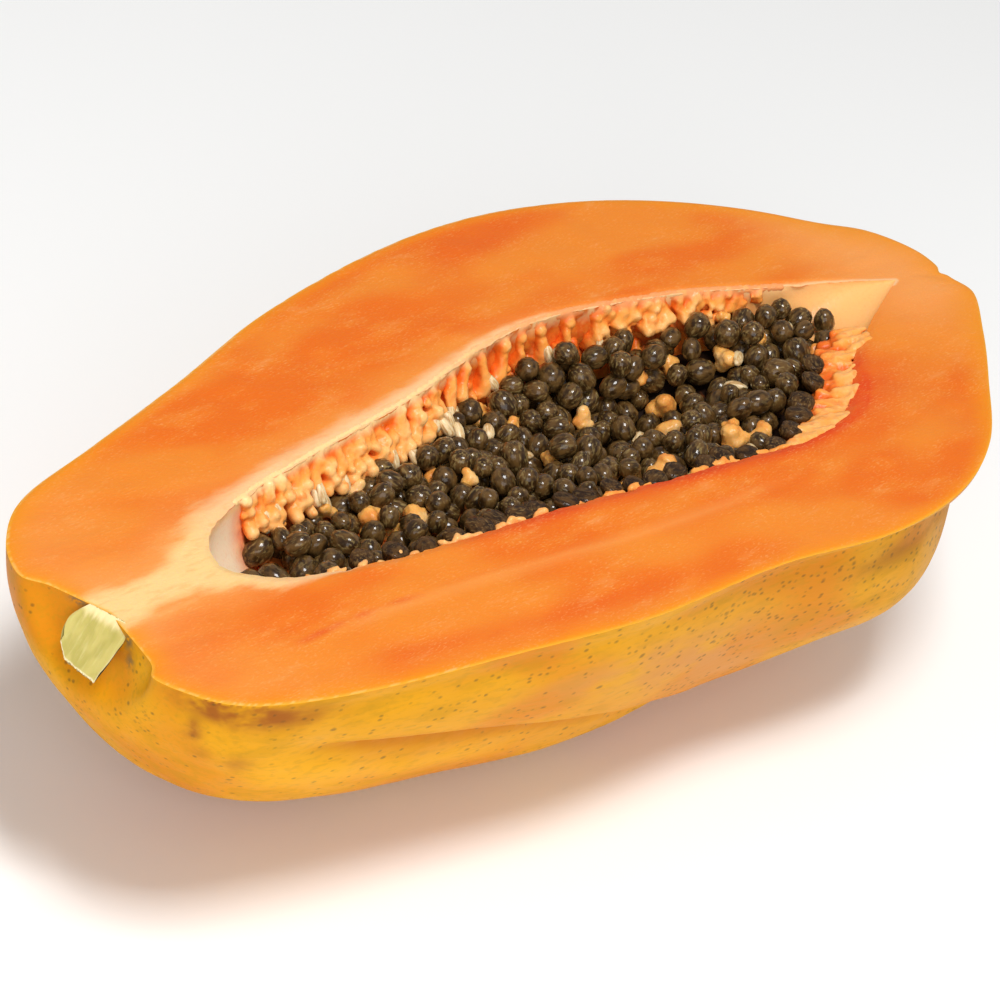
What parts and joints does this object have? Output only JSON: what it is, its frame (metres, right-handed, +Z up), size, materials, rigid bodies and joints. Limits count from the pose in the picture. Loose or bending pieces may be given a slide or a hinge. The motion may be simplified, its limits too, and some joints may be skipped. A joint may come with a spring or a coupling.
{
  "type": "papaya half",
  "caption": "Ripe papaya cut in half lengthwise, cut face up, with its open cavity full of dark seeds and a short sliced stalk.",
  "frame": {"origin": "bottom centre of the bounding box, on the surface that the belly rests on", "axes": "+X along the fruit from the stem end to the blossom end, +Y across the cut face, +Z up, square to the cut face"},
  "size_m": [0.3094, 0.1504, 0.0765],
  "materials": {
    "papaya_flesh": "moist orange flesh with a smooth yellow-orange rind, freckled olive",
    "papaya_seeds": "wet dark olive-brown seeds in thin clear skins",
    "papaya_stalk": "freshly sliced pale green stalk with a thin brown edge"
  },
  "bodies": {
    "root": {"papaya_half": "papaya_flesh", "seed_bed": "papaya_seeds", "stem_stub": "papaya_stalk"}
  },
  "joints": []
}
